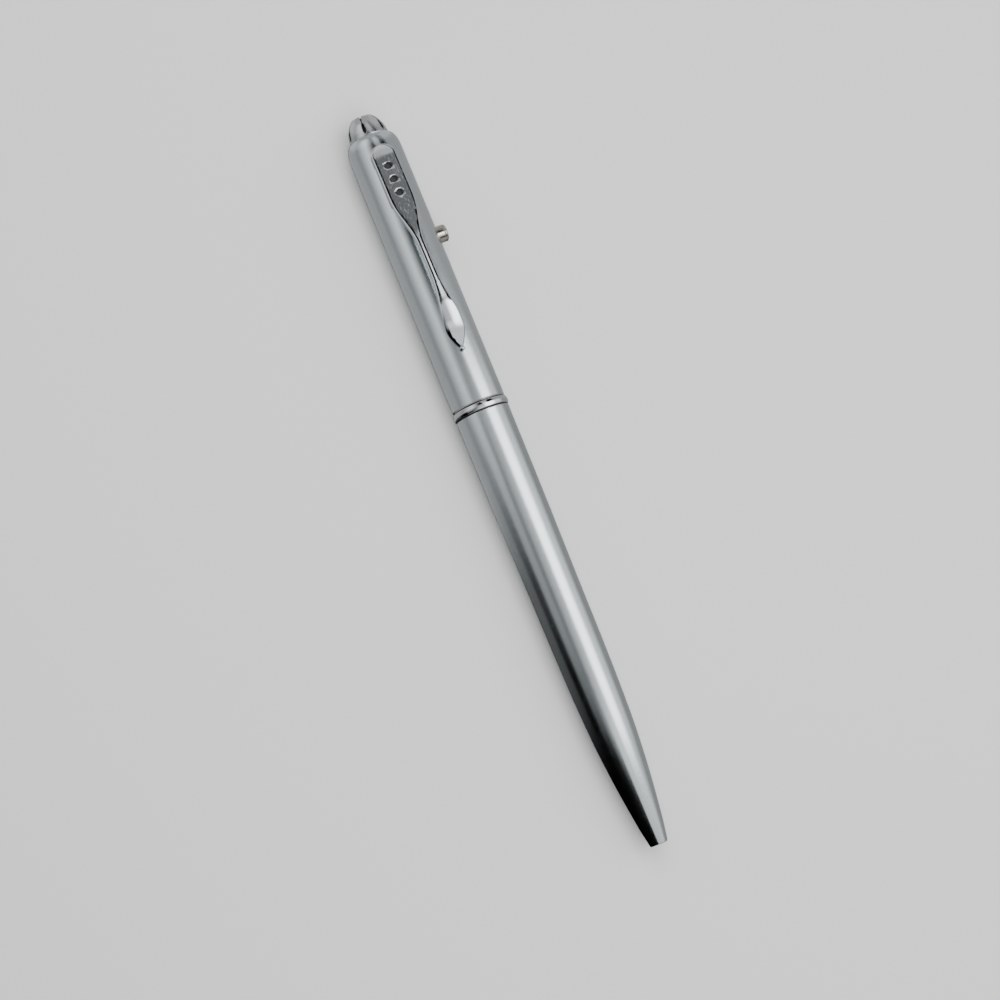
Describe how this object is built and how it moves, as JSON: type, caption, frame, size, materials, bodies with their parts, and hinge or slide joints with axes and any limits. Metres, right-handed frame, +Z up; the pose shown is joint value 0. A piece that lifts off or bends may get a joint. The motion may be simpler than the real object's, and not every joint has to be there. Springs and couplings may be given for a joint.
{
  "type": "counterfeit detector pen",
  "caption": "Twist-action metal pen with invisible-ink refill, pocket clip, side push button and ultraviolet lamp in its tail for checking marks on banknotes.",
  "frame": {"origin": "centre of the pen's box at its lowest line, under the centre ring", "axes": "X along the pen with the nose towards -X, +Z up through the clip, the push button faces -Y"},
  "size_m": [0.1334, 0.0112, 0.0122],
  "materials": {
    "silver_paint": "satin metallic silver",
    "chrome": "mirror chrome plate",
    "nickel": "bright warm nickel plate",
    "grey_metal": "dull silver, lightly worn",
    "brass": "turned",
    "steel": "bright",
    "black_plastic": "moulded",
    "ivory_plastic": "moulded",
    "clear_sleeve": "thin clear insulating film",
    "lamp_clear": "clear moulded epoxy",
    "green_board": "green solder mask",
    "invisible_ink": "pale, nearly clear liquid"
  },
  "bodies": {
    "mechanism": {"mechanism_body": "brass", "ring_bush": "black_plastic", "centre_ring": "chrome"},
    "front": {"front_barrel": "silver_paint", "refill_spring": "steel"},
    "refill": {"refill_tip": "brass", "writing_ball": "steel", "refill_tube": "nickel", "refill_ink": "invisible_ink", "spring_collar": "ivory_plastic", "refill_plunger": "black_plastic", "follower_pin": "steel"},
    "spindle": {"cam_spindle": "steel", "drive_hub": "brass", "front_contact": "nickel"},
    "upper": {"upper_barrel": "silver_paint", "tail_bezel": "grey_metal", "cell_sleeve": "clear_sleeve", "cell_1_can": "nickel", "cell_1_gasket": "black_plastic", "cell_1_cap": "steel", "cell_2_can": "nickel", "cell_2_gasket": "black_plastic", "cell_2_cap": "steel", "cell_3_can": "nickel", "cell_3_gasket": "black_plastic", "cell_3_cap": "steel", "battery_spring": "nickel", "board_carrier": "black_plastic", "circuit_board": "green_board", "switch_body": "black_plastic", "earth_leaf": "brass", "lamp_lens": "lamp_clear", "lamp_anode": "nickel", "lamp_cathode": "nickel", "lamp_bush": "ivory_plastic"},
    "button": {"push_button": "nickel"},
    "switch": {"switch_plunger": "ivory_plastic"},
    "clip": {"clip": "chrome"}
  },
  "joints": [
    {"name": "front_unscrew", "type": "slide", "parent": "mechanism", "child": "front", "axis": [-1, 0, 0], "range_m": [0, 0.08]},
    {"name": "barrel_twist", "type": "hinge", "parent": "mechanism", "child": "spindle", "pos_m": [0, 0.00069, 0.00491], "axis": [1, 0, 0], "range_deg": [0, 180]},
    {"name": "refill_advance", "type": "slide", "parent": "mechanism", "child": "refill", "axis": [-1, 0, 0], "range_m": [0, 0.0052], "deforming": ["refill_spring"]},
    {"name": "upper_pull", "type": "slide", "parent": "spindle", "child": "upper", "axis": [1, 0, 0], "range_m": [0, 0.025]},
    {"name": "button_press", "type": "slide", "parent": "upper", "child": "button", "axis": [0, 1, 0], "range_m": [0, 0.00045], "stiffness_N_per_m": 1500},
    {"name": "switch_press", "type": "slide", "parent": "upper", "child": "switch", "axis": [0, 1, 0], "range_m": [0, 0.00045]},
    {"name": "clip_flex", "type": "hinge", "parent": "upper", "child": "clip", "pos_m": [0.05845, 0.00069, 0.00931], "axis": [0, 1, 0], "range_deg": [0, 4.5], "stiffness_Nm_per_rad": 3.6}
  ],
  "couplings": [
    {"joint": "refill_advance", "follows": "barrel_twist", "m_per_rad": 0.001655},
    {"joint": "switch_press", "follows": "button_press", "ratio": 1}
  ]
}
